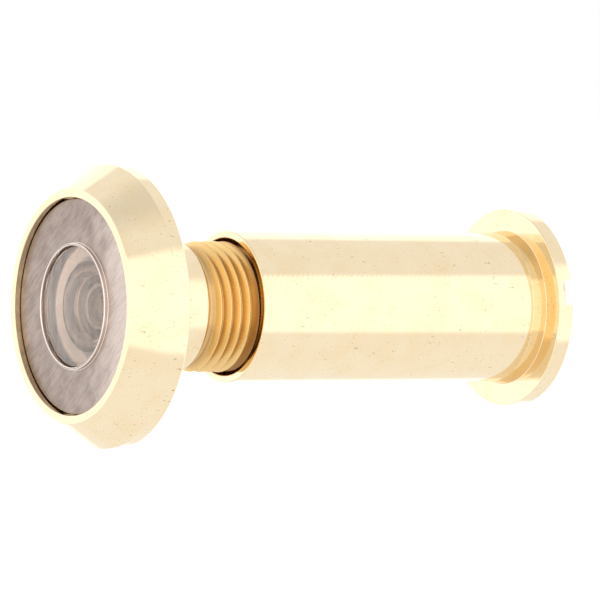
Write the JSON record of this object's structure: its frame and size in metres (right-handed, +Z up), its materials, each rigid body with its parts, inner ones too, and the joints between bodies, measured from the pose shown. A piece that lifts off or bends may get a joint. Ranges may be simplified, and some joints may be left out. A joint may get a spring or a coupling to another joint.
{
  "type": "door viewer",
  "caption": "Wide-angle door viewer: clear lens in a bevelled brass flange, threaded tube, and a screw-on sleeve with a slotted flange that clamps the door.",
  "frame": {"origin": "on the optical axis, in the plane of the outer flange's face that seats on the outside of the door", "axes": "+Y along the optical axis from the outside of the house to the inside, +Z up, +X to the right for someone outside who faces the door"},
  "size_m": [0.0258, 0.0493, 0.0258],
  "materials": {
    "polished_brass": "polished and lacquered, with faint turning marks",
    "brushed_steel": "satin, brushed straight across",
    "clear_glass": "clear and polished, with bright reflections",
    "blackened_metal": "matt black, so that it throws no light back",
    "spring_steel": "plain drawn wire grey"
  },
  "bodies": {
    "objective": {"objective_housing": "polished_brass", "face_plate": "brushed_steel", "front_lens": "clear_glass", "middle_lens": "clear_glass", "lens_spacer": "blackened_metal", "rear_lens": "clear_glass", "lens_clip": "spring_steel"},
    "eyepiece_optics": {"eyepiece_lens": "clear_glass"},
    "sleeve": {"eyepiece_sleeve": "polished_brass", "eyepiece_washer": "blackened_metal", "eyepiece_spacer": "blackened_metal", "eyepiece_clip": "spring_steel"}
  },
  "joints": [
    {"name": "barrel_travel", "type": "slide", "parent": "objective", "child": "eyepiece_optics", "axis": [0, 1, 0], "range_m": [-0.00781, 0.01121]},
    {"name": "barrel_turn", "type": "hinge", "parent": "eyepiece_optics", "child": "sleeve", "pos_m": [0, 0, 0], "axis": [0, 1, 0], "range_deg": [-2808, 4032]}
  ],
  "couplings": [
    {"joint": "barrel_travel", "follows": "barrel_turn", "m_per_rad": 0.00015915}
  ]
}
